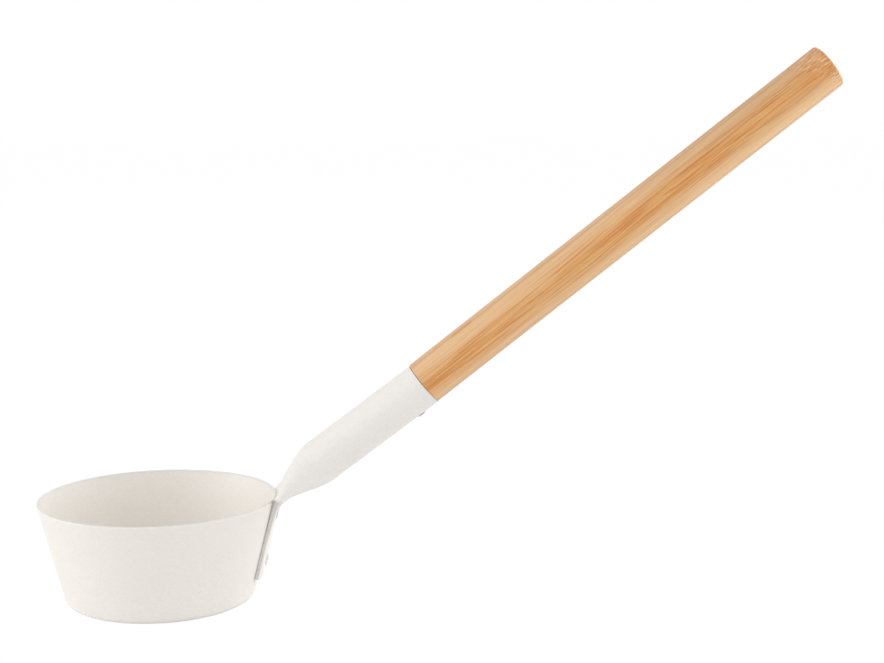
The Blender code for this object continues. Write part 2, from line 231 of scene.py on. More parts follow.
outward = np.array([math.cos(WALL_SLANT), -math.sin(WALL_SLANT)])
corner_radius_x = CUP_FOOT_RADIUS - CUP_CORNER_RADIUS * (1 - math.sin(WALL_SLANT)) / math.cos(WALL_SLANT)
cup_corner = np.array([corner_radius_x, CUP_CORNER_RADIUS])
lip_radius = COATED_SHEET / 2
lip_height = CUP_HEIGHT - lip_radius
wall_height = lip_height - lip_radius * math.sin(WALL_SLANT)
wall_top = np.array([CUP_FOOT_RADIUS + wall_height * math.tan(WALL_SLANT), wall_height])
lip_centre = wall_top - outward * lip_radius
outer_corner = arc(cup_corner, CUP_CORNER_RADIUS, -math.pi / 2, -WALL_SLANT, 20)
inner_corner = arc(cup_corner, CUP_CORNER_RADIUS - COATED_SHEET, -WALL_SLANT, -math.pi / 2, 20)
lip_round = arc(lip_centre, lip_radius, -WALL_SLANT, math.pi - WALL_SLANT, 16)
cup_profile = np.vstack([
    run((0.0, 0.0), outer_corner[0], 24),
    outer_corner,
    run(outer_corner[-1], lip_round[0], 32),
    lip_round,
    run(lip_round[-1], inner_corner[0], 32),
    inner_corner,
    run(inner_corner[-1], (0.0, COATED_SHEET), 24),
])
from_lip = np.linalg.norm(cup_profile - lip_centre, axis=1) - lip_radius
across_lip = (lip_centre - cup_profile) @ outward / lip_radius
past_outer_side = np.clip((across_lip - THIN_FROM) / (THIN_FULL - THIN_FROM), 0.0, 1.0)
cup_mask = np.clip(1 - from_lip / LIP_FADE, 0.0, 1.0) * past_outer_side
cup = seat(skin("ladle_cup", turn(cup_profile, CUP_SIDES), cup_mask[:, None]), "cup")

# %% [markdown]
# The socket is the piece that takes skill. A round tube is pressed flat at one end, its folds are trimmed
# off, and it is bent down over the rim. First come the places that it shares with its neighbours: the
# cup's wall, the corner over the rim, the mouth, and how far the tab reaches.


# %% Places on the wall and the tube
def wall_place(along):
    """Point on the cup's outer wall, this far up the slant from the underside."""
    return np.array([CUP_FOOT_RADIUS, 0.0, 0.0]) + WALL_UP * along


tab_middle = WALL_OUT * (SEAT_GAP + TUBE_WALL)
corner_along = (CUP_HEIGHT + CORNER_OVER_RIM - tab_middle[2]) / WALL_UP[2]
foot_along = (TAB_FOOT - tab_middle[2]) / WALL_UP[2]
mouth = wall_place(corner_along) + tab_middle + TUBE_OUT * TUBE_LENGTH
bend_turn = math.acos(TUBE_OUT @ WALL_UP)
bend_start = TUBE_LENGTH - BEND_RADIUS * math.tan(bend_turn / 2)
bend_end = bend_start + BEND_RADIUS * bend_turn
tab_end = bend_end + corner_along - foot_along - BEND_RADIUS * math.tan(bend_turn / 2)
press_start = TUBE_LENGTH + PRESS_PAST_CORNER - PRESS_LENGTH
press_end = press_start + PRESS_LENGTH
trim_start = TUBE_LENGTH + TRIM_PAST_CORNER
trim_end = trim_start + TRIM_SHOULDER
print("socket", round(tab_end * 1000, 1), "mm long, bent by", round(math.degrees(bend_turn), 1), "degrees")

# %% [markdown]
# A sheet keeps its length when it is pressed, so the tube's round turns into two half rounds joined by
# flats: as it gets thinner it gets wider. Where the folds are trimmed off, the half rounds give way to
# square cut sides, on which the line between the two layers of sheet still shows.

# %% The pressed and trimmed section
QUARTER_SIDES = 40
SIDE_CROWDING = 2.0  # above 1, the points of a ring crowd at its two sides
CUT_EDGE_RADIUS = 0.00022  # the coat rounds the cut edges
SEAM_DEPTH = 0.00016  # the line between the two layers
SEAM_HALF_WIDTH = 0.00012


def smooth(share):
    """Share between 0 and 1 with a soft start and end: s * s * (3 - 2 s)."""
    share = np.clip(share, 0.0, 1.0)
    return share**2 * (3 - 2 * share)


def pressed_section(along):
    """Half thickness b and half width b + pi / 2 * (r - b) of the sheet's middle, from a round radius r.

    Along the pressed length, b goes from r to half a wall by 1 - (1 - share^start ease)^end ease.
    """
    round_radius = TUBE_RADIUS - TUBE_WALL / 2
    share = np.clip((along - press_start) / PRESS_LENGTH, 0.0, 1.0)
    pressed = 1 - (1 - share**PRESS_START_EASE) ** PRESS_END_EASE
    half_thickness = round_radius + (TUBE_WALL / 2 - round_radius) * pressed
    return half_thickness, half_thickness + math.pi / 2 * (round_radius - half_thickness)


def section_rings(half_thickness, half_width, edge_radius):
    """Sideways and upward coordinates of rings: up a side, round an edge, along the top, then mirrored."""
    edge = edge_radius[:, None]
    side_length = half_thickness[:, None] - edge
    top_length = half_width[:, None] - edge
    share = (np.arange(QUARTER_SIDES + 1) / QUARTER_SIDES) ** SIDE_CROWDING
    distance = share * (side_length + math.pi / 2 * edge + top_length)
    angle = np.clip((distance - side_length) / edge, 0.0, math.pi / 2)
    side = top_length + edge * np.cos(angle) - np.maximum(distance - side_length - math.pi / 2 * edge, 0.0)
    rise = np.minimum(distance, side_length) + edge * np.sin(angle)
    back = slice(-2, 0, -1)
    sideways = np.hstack([side, -side[:, back], -side, side[:, back]])
    upward = np.hstack([rise, rise[:, back], -rise, -rise[:, back]])
    return sideways, upward


# %% [markdown]
# The rings are carried along the tube's middle line, which is straight, then an arc, then straight down
# the wall. The tab also bows round the cup, so each point moves along the ring's normal by its distance
# from the middle squared. The coat fills the gap between tab and wall, so the tab is drawn thicker towards
# the wall, most at its sides and in the wedge at its top. On a cut side a mask paints shade, darker the
# nearer it is to the cup: it stands for the shadow in the gap beside the wall.

# %% Rings of the socket
TAB_BEDDING = 0.00019  # coat between the tab and the wall, on the tab
SIDE_BEDDING = 0.00027  # what is added at the sides of the tab's foot, where the wall is rounder
WEDGE_FILL = 0.4  # of the wedge over the tab, where it leaves the wall
BOW_FILL = 0.75  # of the gap that the tab leaves at its sides where it isn't fully bowed yet
BEDDING_START = 0.009  # before the end of the bend
BEDDING_EASE = 0.004
CUT_SIDE_FROM = 0.9  # of the half width: a point further out is on a cut side
SIDE_PLACES = (-0.5, 0.0, 0.65, 0.9)  # over a cut side towards the wall, in sheets of metal
SIDE_SHADES = (0.0, 0.28, 0.36, 0.88)  # how much painted shade darkens the cut side there
SLANT_REACH = 0.003  # along the tube, over which its rings turn square again behind the slanted mouth


def centre_line(along):
    """Points and normals of the middle line, and how far the tab's bow has come there, from 0 to 1."""
    angle = np.clip((along - bend_start) / BEND_RADIUS, 0.0, bend_turn)[:, None]
    before = np.minimum(along, bend_start)[:, None]
    after = np.maximum(along - bend_end, 0.0)[:, None]
    normals = TUBE_UP * np.cos(angle) - TUBE_OUT * np.sin(angle)
    points = mouth - TUBE_OUT * before + (normals - TUBE_UP) * BEND_RADIUS - WALL_UP * after
    return points, normals, smooth((along - bend_start) / TAB_BOW_LENGTH)


def bedding(along, sideways, bowed):
    """How much thicker the tab is towards the wall: more in the wedge at its top and at its sides."""
    above_tab = np.maximum(bend_end - along, 0.0)
    down_tab = np.clip((along - bend_end) / (tab_end - bend_end), 0.0, 1.0)
    even = TAB_BEDDING + WEDGE_FILL * above_tab**2 / (2 * BEND_RADIUS)
    at_sides = SIDE_BEDDING * down_tab / TAB_HALF_WIDTH**2 + BOW_FILL * (1 - bowed) / (2 * TAB_BOW_RADIUS)
    reach = smooth((along - bend_end + BEDDING_START) / BEDDING_EASE)
    return (even[:, None] + at_sides[:, None] * sideways**2) * reach[:, None]


def socket_rings(along, inset, squash):
    """Rings at distances from the mouth, inset from the sheet's middle, squashed towards the middle line.

    A point is the middle line + its normal * (upward + bow) + Y * sideways. The second result is the
    painted shade on the cut sides, darker towards the wall.
    """
    half_thickness, half_width = pressed_section(along)
    points, normals, bowed = centre_line(along)
    trimmed = smooth((along - trim_start) / TRIM_SHOULDER)
    thickness = half_thickness - inset
    outside = inset < 0.0
    edge = thickness + (CUT_EDGE_RADIUS - thickness) * trimmed * outside
    sideways, upward = section_rings(thickness, half_width - inset, edge)
    sideways *= (1 + trimmed * (TAB_HALF_WIDTH / (half_width + TUBE_WALL / 2) - 1))[:, None]
    to_end = np.clip(1 - (tab_end - along) / TAB_CORNER_RADIUS, 0.0, 1.0)
    sideways *= (1 - TAB_CORNER_RADIUS / TAB_HALF_WIDTH * (1 - np.sqrt(1 - to_end**2)))[:, None]
    seam = SEAM_DEPTH * (trimmed * outside)[:, None] * np.exp(-((upward / SEAM_HALF_WIDTH) ** 2))
    at_side = np.abs(sideways) > CUT_SIDE_FROM * np.abs(sideways).max(axis=1)[:, None]
    sideways -= np.sign(sideways) * seam * at_side
    # Painted shade: the cut sides get darker towards the wall.
    cut_side_shade = at_side * trimmed[:, None] * np.interp(upward / TUBE_WALL, SIDE_PLACES, SIDE_SHADES)
    upward = upward * squash[:, None]
    upward += bedding(along, sideways, bowed) * outside[:, None] * np.clip(upward / TUBE_WALL, 0.0, 1.0)
    bow = (bowed / TAB_BOW_RADIUS)[:, None] * sideways**2 / 2
    slide = -upward * math.tan(MOUTH_SLANT) * np.clip(1 - along / SLANT_REACH, 0.0, 1.0)[:, None]
    rings = points[:, None] + (upward + bow)[..., None] * normals[:, None] + slide[..., None] * TUBE_OUT
    rings[..., 1] += sideways
    return rings, cut_side_shade


# %% [markdown]
# One chain of rings makes the whole socket: from the pinched end of the bore out to the mouth, over the
# cut edge of the mouth, and back along the outside to the tab's end, where the last rings draw in to the
# line between the two layers.

# %% The socket
MOUTH_EDGE_RADIUS = 0.00020
PINCHED_GAP = 0.0002  # the bore ends where the two layers come this close
EDGE_GREY = 0.24  # how thin the coat is on the other cut edges
EDGE_FADE = 0.0006
CORNER_SHARE = 0.97  # of the tab's corner, past which the end is a straight cut

half_wall = TUBE_WALL / 2
spread = np.concatenate([
    run([MOUTH_EDGE_RADIUS], [press_start], 30)[:, 0],
    np.linspace(press_start, trim_start, 46)[1:],
    np.linspace(trim_start, trim_end, 24)[1:],
    np.linspace(trim_end, press_end, 16)[1:],
    np.linspace(press_end, tab_end - TAB_CORNER_RADIUS, 26)[1:],
])
bore = spread[pressed_section(spread)[0] - half_wall > PINCHED_GAP / 2][::-1]
quarter = np.linspace(0.0, math.pi / 2, 7)
corner_turn = np.linspace(0.0, math.pi / 2 * CORNER_SHARE, 14)[1:]
tab_corner = tab_end - TAB_CORNER_RADIUS * (1 - np.sin(corner_turn))
cap = np.array([0.9, 0.8, 0.65, 0.5, 0.35, 0.22, 0.12, 0.05, 0.0])  # shares of the thickness left
cap_seam = SEAM_DEPTH * np.exp(-((cap * TUBE_WALL / SEAM_HALF_WIDTH) ** 2))
along = np.concatenate([
    bore[:1], bore,
    MOUTH_EDGE_RADIUS * (1 - np.sin(quarter)), MOUTH_EDGE_RADIUS * (1 - np.cos(quarter)),
    spread, tab_corner, tab_end - 0 * cap - cap_seam,
])
inset = np.concatenate([
    np.full(len(bore) + 1, half_wall),
    half_wall - MOUTH_EDGE_RADIUS * (1 - np.cos(quarter)),
    -half_wall + MOUTH_EDGE_RADIUS * (1 - np.sin(quarter)),
    np.full(len(spread) + len(tab_corner) + len(cap), -half_wall),
])
squash = np.concatenate([[0.0], np.ones(len(along) - len(cap) - 1), cap])
edge_distance = np.minimum(along, tab_end - along)
rings, cut_side_shade_mask = socket_rings(along, inset, squash)
edge_mask = EDGE_GREY * np.clip(1 - edge_distance / EDGE_FADE, 0.0, 1.0)
# Thin coat on the other cut edges, and painted shade on the cut sides.
socket_thin_and_shade = np.maximum(cut_side_shade_mask, edge_mask[:, None])
socket = seat(skin("tube_socket", rings, socket_thin_and_shade), "handle_socket")

# %% [markdown]
# The handle is turned from laminated bamboo: a tenon that goes into the tube, a shoulder that meets the
# mouth, a shaft and a softly rounded end. It is one profile, turned about its own axis. The sanded shaft
# is a hair thinner at the tube, where it comes out flush. The tenon has a little play, and it lets the rod
# stand a degree steeper than the tube. The mouth is cut on a slant, and the shoulder follows it: local X
# points down, so the rings by the shoulder slide towards the tube by their height over the rod's bottom.

# %% The handle
ROD_SIDES = 256
SHOULDER_SEAT = 0.00028  # the oiled shoulder sits this much closer to the mouth than the solids do
SHOULDER_ROUND = 0.00030
SHOULDER_LEVEL = 0.00016  # per rod radius of height, by which the shoulder follows the slanted mouth
SHOULDER_REACH = 0.006  # either way along the rod
THINNER_AT_SHOULDER = 0.00026
THINNER_AT_END = 0.00006
bore_radius = TUBE_RADIUS - TUBE_WALL
tenon_radius = bore_radius - SEAT_GAP - TENON_LENGTH / 2 * math.sin(ROD_LEAN)
shoulder_wedge = abs(math.tan(MOUTH_SLANT) - math.tan(ROD_LEAN)) * TUBE_RADIUS
tenon_middle = mouth + TUBE_OUT * (SEAT_GAP + shoulder_wedge - TENON_LENGTH / 2)
rod_start = tenon_middle + ROD_OUT * TENON_LENGTH / 2
end_centre = (ROD_RADIUS - THINNER_AT_END - ROD_END_ROUND, ROD_LENGTH - ROD_END_ROUND)
shoulder_centre = (ROD_RADIUS - THINNER_AT_SHOULDER - SHOULDER_ROUND, SHOULDER_ROUND - SHOULDER_SEAT)
shoulder_round = arc(shoulder_centre, SHOULDER_ROUND, -math.pi / 2, 0.0, 8)
end_round = arc(end_centre, ROD_END_ROUND, 0.0, math.pi / 2, 16)
rod_profile = np.vstack([
    run((0.0, -TENON_LENGTH), (tenon_radius - TENON_CHAMFER, -TENON_LENGTH), 12),
    run((tenon_radius, TENON_CHAMFER - TENON_LENGTH), (tenon_radius, -SHOULDER_SEAT), 12),
    shoulder_round,
    run(shoulder_round[-1], end_round[0], 60),
    end_round,
    run(end_round[-1], (0.0, ROD_LENGTH), 24),
])
rod_rings = turn(rod_profile, ROD_SIDES)
from_bottom = 1 - rod_rings[..., 0] / ROD_RADIUS
by_shoulder = smooth(1 - np.abs(rod_rings[..., 2]) / SHOULDER_REACH)
rod_rings[..., 2] -= SHOULDER_LEVEL * from_bottom * by_shoulder
rod = seat(skin("bamboo_rod", stand(rod_rings, rod_start, ROD_OUT)), "handle_rod")

# %% [markdown]
# Two rivets hold the tab to the cup. A rivet is a head, a shank and a tail that a hammer or a press forms
# inside. Head and tail are low domes, drawn here as slightly squared half ellipses. The heads sit close on
# the tab, because the coat fills what gap there is, and their rims are grey: thin coat and painted shade.

# %% The rivets
RIVET_SIDES = 96
HEAD_CLEARANCE = 0.00003
HEAD_ROUNDNESS = 2.1  # 2 is an ellipse, and more is squarer
TAIL_ROUNDNESS = 2.4
RIM_THIN_AND_SHADE = 0.26  # how grey a head's rim is, for thin coat and painted shade
RIM_FADE = 0.0004
head_seat = SEAT_GAP + 2 * TUBE_WALL + HEAD_CLEARANCE
tail_seat = -COATED_SHEET - HEAD_CLEARANCE


def half_dome(radius, height, roundness, steps):
    """From rim to axis: r = radius * cos(a)^(2/n), z = height * sin(a)^(2/n), n the roundness."""
    angle = np.linspace(0.0, math.pi / 2, steps + 1)
    power = 2 / roundness
    return np.stack([radius * np.cos(angle).clip(0) ** power, height * np.sin(angle) ** power], axis=1)


head = half_dome(RIVET_HEAD_RADIUS, RIVET_HEAD_HEIGHT, HEAD_ROUNDNESS, 24) + (0.0, head_seat)
tail_dome = half_dome(RIVET_TAIL_RADIUS, RIVET_TAIL_HEIGHT, TAIL_ROUNDNESS, 20)
tail = tail_dome * (1.0, -1.0) + (0.0, tail_seat)
rivet_profile = np.vstack([
    tail[::-1],
    run((RIVET_SHANK_RADIUS, tail_seat), (RIVET_SHANK_RADIUS, head_seat), 4),
    head,
])
# Painted shade where each head meets the tab, as a grey ring that also stands for thin coat there.
from_rim = np.abs(rivet_profile[:, 1] - head_seat)
rivet_rim_thin_and_shade = RIM_THIN_AND_SHADE * np.clip(1 - from_rim / RIM_FADE, 0.0, 1.0)
rivets = []
for place, rivet_along in (
    ("upper", corner_along - UPPER_RIVET_DROP),
    ("lower", foot_along + LOWER_RIVET_RISE),
):
    rings = stand(turn(rivet_profile, RIVET_SIDES), wall_place(rivet_along), WALL_OUT)
    rivets.append(seat(skin(f"{place}_rivet", rings, rivet_rim_thin_and_shade[:, None]), f"rivet_{place}"))

# %% [markdown]
# A small pan head screw goes through the tube's underside into the bamboo. Its thread is a ridge whose
# phase grows with height and turns with the angle, and the cross recess is cut into the head by a height
# that falls away inside two crossed bars. The head is a little smaller than the solid's.

# %% The screw
SCREW_SIDES = 96
THREAD_ROOT = 0.00125
THREAD_CREST = 0.00190
THREAD_PITCH = 0.00125
THREAD_SHARPNESS = 3
THREAD_RUN_OUT = 0.0010  # under the head
RECESS_END_EASE = 0.0004
RECESS_SIDE_EASE = 0.0002
RECESS_FLOOR = 0.0005  # the recess leaves what is lower than this alone
HEAD_TRIM = 0.0003  # from the head's radius, and half of it from its height
TOP_POINTS = 8  # of the head's dome, which get a finer grid for the recess


def thread_rings(start, end, count):
    """Radius = root + ridge, with ridge a sharp hump of the phase height / pitch - angle / (2 pi)."""
    height = np.linspace(start, end, count)[:, None]
    angle = np.linspace(0.0, 2 * math.pi, SCREW_SIDES, endpoint=False)
    phase = height / THREAD_PITCH - angle / (2 * math.pi)
    ridge = (0.5 + 0.5 * np.cos(2 * math.pi * phase)) ** THREAD_SHARPNESS
    ridge = ridge * smooth((end - height) / THREAD_RUN_OUT)
    taper = np.clip((height - start) / SCREW_POINT_LENGTH, 0.0, 1.0)
    radius = (THREAD_ROOT + (THREAD_CREST - THREAD_ROOT) * ridge) * taper
    return np.stack([radius * np.cos(angle), radius * np.sin(angle), height + 0 * angle], axis=-1)


def recess_depth(x, y):
    """Depth of the cross recess at a point of the head, with walls as steep as the grid allows."""
    bars = []
    for along_bar, across_bar in ((x, y), (y, x)):
        inside_end = smooth((RECESS_LENGTH / 2 - np.abs(along_bar)) / RECESS_END_EASE + 0.5)
        inside_side = smooth((RECESS_WIDTH / 2 - np.abs(across_bar)) / RECESS_SIDE_EASE + 0.5)
        bars.append(inside_end * inside_side)
    return RECESS_DEPTH * np.maximum(bars[0], bars[1])


head_size = (SCREW_HEAD_RADIUS - HEAD_TRIM, SCREW_HEAD_HEIGHT - HEAD_TRIM / 2)
screw_head = half_dome(*head_size, HEAD_ROUNDNESS, 18) + (0.0, HEAD_CLEARANCE)
head_top = run(screw_head[-TOP_POINTS], (0.0, screw_head[-1][1]), 40)
head_top[:, 1] = np.interp(-head_top[:, 0], -screw_head[:, 0], screw_head[:, 1])
head_profile = np.vstack([(THREAD_ROOT, HEAD_CLEARANCE), screw_head[:-TOP_POINTS], head_top])
head_rings = turn(head_profile, SCREW_SIDES)
on_top = head_rings[..., 2] > RECESS_FLOOR
head_rings[..., 2] -= recess_depth(head_rings[..., 0], head_rings[..., 1]) * on_top
screw_rings = np.concatenate([thread_rings(HEAD_CLEARANCE - SCREW_LENGTH, HEAD_CLEARANCE, 160), head_rings])
screw_seat = mouth - TUBE_OUT * SCREW_FROM_MOUTH - TUBE_UP * TUBE_RADIUS
screw = seat(skin("pan_head_screw", stand(screw_rings, screw_seat, -TUBE_UP)), "handle_screw")

# %% [markdown]
# Each finish is a material of nodes. Small helpers keep the wiring readable: one adds a node and fills or
# links its inputs by name, and the others do arithmetic, mix two colours, map a range, start a material and
# put it on a piece.


# %% Helpers for materials
def add(tree, kind, inputs=None, **settings):
    """Add a node, set its settings, and fill its inputs with values or link them to sockets."""
    made = tree.nodes.new(kind)
    for key, value in settings.items():
        setattr(made, key, value)
    for key, value in (inputs or {}).items():
        if isinstance(value, bpy.types.NodeSocket):
            tree.links.new(value, made.inputs[key])
        else:
            made.inputs[key].default_value = value
    return made


def maths(tree, operation, first, second=0.0, third=0.0):
    """Arithmetic on numbers or sockets."""
    inputs = {0: first, 1: second, 2: third}
    return add(tree, "ShaderNodeMath", inputs, operation=operation).outputs[0]


def blend(tree, share, first, second, way="MIX"):
    """Mix two colours."""
    inputs = {0: share, 6: first, 7: second}
    return add(tree, "ShaderNodeMix", inputs, data_type="RGBA", blend_type=way).outputs[2]


def ranged(tree, value, low, high, to_low=0.0, to_high=1.0, way="SMOOTHSTEP"):
    """Map a value from one range to another, with a soft start and end unless the way says otherwise."""
    inputs = {"Value": value, "From Min": low, "From Max": high, "To Min": to_low, "To Max": to_high}
    return add(tree, "ShaderNodeMapRange", inputs, interpolation_type=way).outputs[0]


def start_material(name, roughness=0.5, metallic=0.0):
    """A material with its Principled shader, ready to be wired."""
    material = bpy.data.materials.new(name)
    material.use_nodes = True
    shader = material.node_tree.nodes["Principled BSDF"]
    shader.inputs["Roughness"].default_value = roughness
    shader.inputs["Metallic"].default_value = metallic
    return material, material.node_tree, shader


def wear(piece, material):
    """Give a piece its one material."""
    piece.data.materials.clear()
    piece.data.materials.append(material)
    print(piece.name, "wears", material.name)


# %% [markdown]
# Some effects come back in several finishes. Both whites of the coat have a fine relief that a finger can
# just feel, and the coats and the plated steel share a faint cloudiness. Each effect is a node group with
# named inputs, built once and placed with other values in each material.


# %% Shared effects
def start_group(name, inputs, outputs):
    """A node group with float or colour sockets, and its input and output nodes."""
    group = bpy.data.node_groups.new(name, "ShaderNodeTree")
    for socket_name, kind, value in inputs:
        socket = group.interface.new_socket(socket_name, in_out="INPUT", socket_type=kind)
        if value is not None:
            socket.default_value = value
    for socket_name, kind in outputs:
        group.interface.new_socket(socket_name, in_out="OUTPUT", socket_type=kind)
    print("node group", name, "takes", [entry[0] for entry in inputs])
    return group, group.nodes.new("NodeGroupInput"), group.nodes.new("NodeGroupOutput")


relief_group, taken, given = start_group(
    "fine_relief",
    [("Vector", "NodeSocketVector", None), ("Grain", "NodeSocketFloat", 1000.0)],
    [("Height", "NodeSocketFloat")],
)
bumps = add(relief_group, "ShaderNodeTexNoise", {"Vector": taken.outputs["Vector"],
            "Scale": taken.outputs["Grain"], "Detail": 2.0, "Roughness": 0.5})
relief_group.links.new(bumps.outputs["Fac"], given.inputs["Height"])

cloud_group, taken, given = start_group(
    "cloudiness",
    [("Vector", "NodeSocketVector", None), ("Size", "NodeSocketFloat", 40.0),
     ("Amount", "NodeSocketFloat", 0.1)],
    [("Value", "NodeSocketFloat")],
)
cloud = add(cloud_group, "ShaderNodeTexNoise", {"Vector": taken.outputs["Vector"],
            "Scale": taken.outputs["Size"], "Detail": 3.0, "Roughness": 0.55})
centred = maths(cloud_group, "SUBTRACT", cloud.outputs["Fac"], 0.5)
scaled = maths(cloud_group, "MULTIPLY", centred, taken.outputs["Amount"])
cloud_group.links.new(maths(cloud_group, "ADD", scaled, 1.0), given.inputs["Value"])


def use_group(tree, group, inputs):
    """Place a group in a material with its own values."""
    return add(tree, "ShaderNodeGroup", inputs, node_tree=group).outputs[0]


# %% [markdown]
# The coat is a warm white powder, baked on. It is nearly matt, with the faint orange peel that molten
# powder leaves and a fine speckle of lighter and darker grains, and it goes greyer where it runs thin over
# an edge. On the tab's cut sides and round the rivets' rims the same mask also paints shade. Cup and
# socket hang in the oven as separate pieces, so their whites differ a little, and one function makes both.

# %% White powder coat
CUP_WHITE = (0.843, 0.805, 0.757, 1.0)
CUP_THIN = (0.770, 0.763, 0.728, 1.0)
SOCKET_WHITE = (0.842, 0.814, 0.776, 1.0)
# The socket's greyer colour, for thin coat and for the painted shade on the cut sides and rivet rims.
SOCKET_THIN_AND_SHADE = (0.420, 0.405, 0.390, 1.0)
COAT_ROUGHNESS = 0.52


def powder_coat(name, colour, thin_and_shade_colour, specular, pieces):
    """A coat of one white, which turns to its second colour, for thin coat and painted shade, where the mask
    says so.
    """
    coat, tree, shader = start_material(name)
    shader.inputs["Specular IOR Level"].default_value = specular
    spot = add(tree, "ShaderNodeTexCoord").outputs["Object"]
    cloudy = use_group(tree, cloud_group, {"Vector": spot, "Size": 55.0, "Amount": 0.03})
    speckled = use_group(tree, cloud_group, {"Vector": spot, "Size": 800.0, "Amount": 0.13})
    thin_and_shade = add(tree, "ShaderNodeAttribute", attribute_name="thin_coat_and_shade").outputs["Fac"]
    tint = blend(tree, thin_and_shade, colour, thin_and_shade_colour)
    tone = maths(tree, "MULTIPLY", cloudy, speckled)
    grey = add(tree, "ShaderNodeCombineColor", {0: tone, 1: tone, 2: tone}).outputs[0]
    tree.links.new(blend(tree, 1.0, tint, grey, "MULTIPLY"), shader.inputs["Base Color"])
    tree.links.new(maths(tree, "MULTIPLY", cloudy, COAT_ROUGHNESS), shader.inputs["Roughness"])
    peel = use_group(tree, relief_group, {"Vector": spot, "Grain": 900.0})
    bump = add(tree, "ShaderNodeBump", {"Height": peel, "Strength": 0.5, "Distance": 0.0001})
    tree.links.new(bump.outputs["Normal"], shader.inputs["Normal"])
    for piece in pieces:
        wear(piece, coat)


powder_coat("cup_coat", CUP_WHITE, CUP_THIN, specular=0.75, pieces=[cup])
powder_coat("socket_coat", SOCKET_WHITE, SOCKET_THIN_AND_SHADE, specular=0.5, pieces=[socket, *rivets])

# %% [markdown]
# The handle is turned from a board of glued bamboo strips, about 7 mm thick. Its pattern is a function of
# the place inside the rod, in millimetres, so the lines run through to the end grain. A Mapping node of
# the texture kind undoes the rod's place and slope. The seen height is what the camera sees as up. The
# fibres don't run quite straight: they rise a little along the middle of the rod and fall near its end.

# %% Places in the bamboo
LAYER_THICKNESS = 7.2
FRONT_GLUE = -5.6  # where the front glue line crosses the rod's middle, seen from above
LAYER_TILT = math.radians(2.9)
SIGHT_SLOPE = 0.157  # the camera looks down on the rod, so what is nearer seems this much lower
MILLIMETRES = (0.001, 0.001, 0.001)
FIBRE_RISE = (75.0, 180.0, 0.0, 0.9)  # two places along the rod, and how far the fibres have risen there
FIBRE_FALL = (195.0, 275.0, 0.0, -1.4)

bamboo, tree, shader = start_material("bamboo")
spot = add(tree, "ShaderNodeTexCoord").outputs["Object"]
rod_angle = math.atan2(ROD_OUT[0], ROD_OUT[2])
local = add(tree, "ShaderNodeMapping", {"Vector": spot, "Location": rod_start,
            "Rotation": (0.0, rod_angle, 0.0), "Scale": MILLIMETRES}, vector_type="TEXTURE")
down, across, along_rod = add(tree, "ShaderNodeSeparateXYZ", {0: local.outputs[0]}).outputs
height = maths(tree, "MULTIPLY", down, -1.0)
seen_height = maths(tree, "MULTIPLY_ADD", across, SIGHT_SLOPE, height)
tilted = maths(tree, "ADD", maths(tree, "MULTIPLY", across, math.cos(LAYER_TILT)),
               maths(tree, "MULTIPLY", down, math.sin(LAYER_TILT)))
layer_place = maths(tree, "DIVIDE", maths(tree, "SUBTRACT", tilted, FRONT_GLUE), LAYER_THICKNESS)
in_layer = maths(tree, "MULTIPLY", maths(tree, "FRACT", layer_place), LAYER_THICKNESS)
from_glue = maths(tree, "MULTIPLY", maths(tree, "PINGPONG", layer_place, 0.5), LAYER_THICKNESS)
risen = maths(tree, "ADD", ranged(tree, along_rod, *FIBRE_RISE), ranged(tree, along_rod, *FIBRE_FALL))
bent_down = maths(tree, "ADD", down, risen)
bent_place = add(tree, "ShaderNodeCombineXYZ", {0: bent_down, 1: across, 2: along_rod}).outputs[0]
print("the rod is laminated in layers of", LAYER_THICKNESS, "mm")

# %% [markdown]
# A bamboo wall is dense with brown fibre bundles near the culm's skin and pale near its hollow. So each
# strip darkens from one face to the other, and turning the rod cuts through that gradient. The strip isn't
# quite parallel to the rod, so the dark middle wanders from low to high along the handle. Towards the far
# end its upper side gets duller and its lower side paler, and faint patches run along it everywhere.


# %% From pale to dark through a strip
def stretched_noise(across_size, along_size, detail, seed):
    """Noise drawn out along the rod: sizes in millimetres, moved by a seed so that copies differ."""
    scale = (1 / across_size, 1 / across_size, 1 / along_size)
    place = add(tree, "ShaderNodeMapping", {"Vector": bent_place, "Location": (seed, seed, seed),
                "Scale": scale})
    inputs = {"Vector": place.outputs[0], "Scale": 1.0, "Detail": detail, "Roughness": 0.55}
    return add(tree, "ShaderNodeTexNoise", inputs).outputs["Fac"]


PALE = (0.772, 0.500, 0.268, 1.0)
MIDDLE = (0.765, 0.402, 0.122, 1.0)
DARK = (0.54, 0.140, 0.020, 1.0)
STRIP_TONE = (0.91, 0.91, 0.93, 1.0)  # every second strip is a little darker
UPPER_TONE = (0.86, 0.91, 0.98, 1.0)
LOWER_TONE = (1.15, 1.18, 1.17, 1.0)
PATCH_TONE = (0.97, 0.94, 0.90, 1.0)
DENSITY_EDGES = (3.2, 7.0)  # millimetres from the strip's pale face
CLOUD_SHIFT = 2.2  # how far noise moves those edges
WANDER_START = -0.12
WANDER_RATE = 0.0013
UPPER_ALONG = (70.0, 230.0)  # where along the rod the upper side gets duller
UPPER_HEIGHTS = (1.0, 7.5)
UPPER_BROWN = 0.20
LOWER_ALONG = (20.0, 245.0, 0.15, 1.1)  # where the lower side gets paler, and how strongly
LOWER_HEIGHTS = (-1.5, -8.5)
PATCH_EDGES = (0.35, 0.65)

